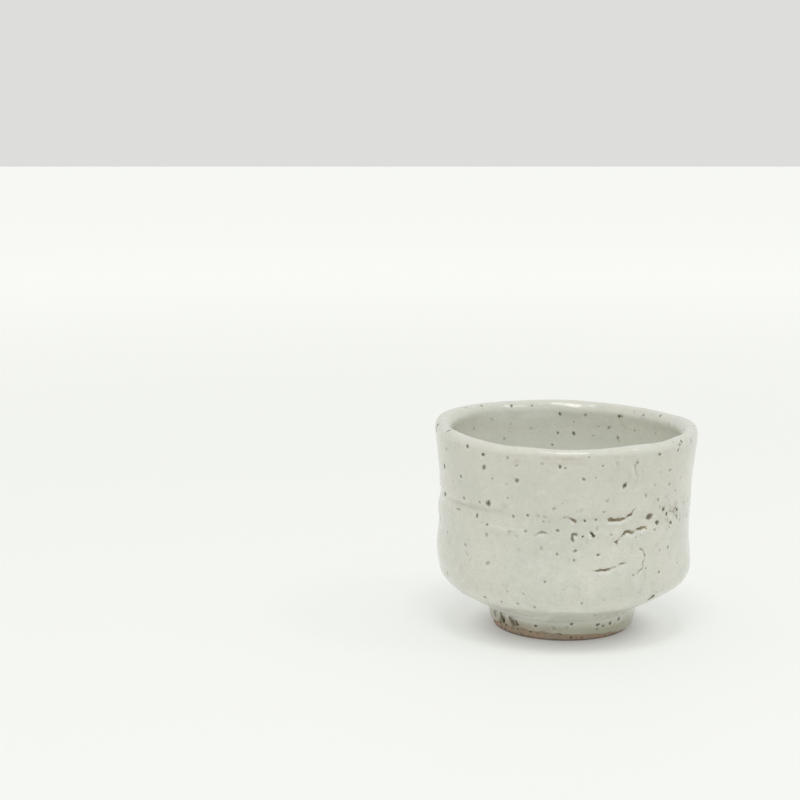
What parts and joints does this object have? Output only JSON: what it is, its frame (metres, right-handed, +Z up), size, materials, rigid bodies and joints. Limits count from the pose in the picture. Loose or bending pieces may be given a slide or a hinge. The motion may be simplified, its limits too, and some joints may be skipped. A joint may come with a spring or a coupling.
{
  "type": "sake cup",
  "caption": "Small thrown stoneware sake cup with a turned foot ring, a waist groove, a rounded lip and a crawled white glaze.",
  "frame": {"origin": "on the standing surface, below the middle of the cup's outline", "axes": "+Z up through the mouth, -Y towards the side with the glaze cracks, +X to the right seen from that side"},
  "size_m": [0.0662, 0.0662, 0.0532],
  "materials": {
    "clay": "bare fired clay, gritty",
    "glaze": "satin white glaze with iron specks"
  },
  "bodies": {
    "root": {"stoneware_body": "clay", "outer_glaze": "glaze", "inner_glaze": "glaze", "foot_recess_glaze": "glaze"}
  },
  "joints": []
}
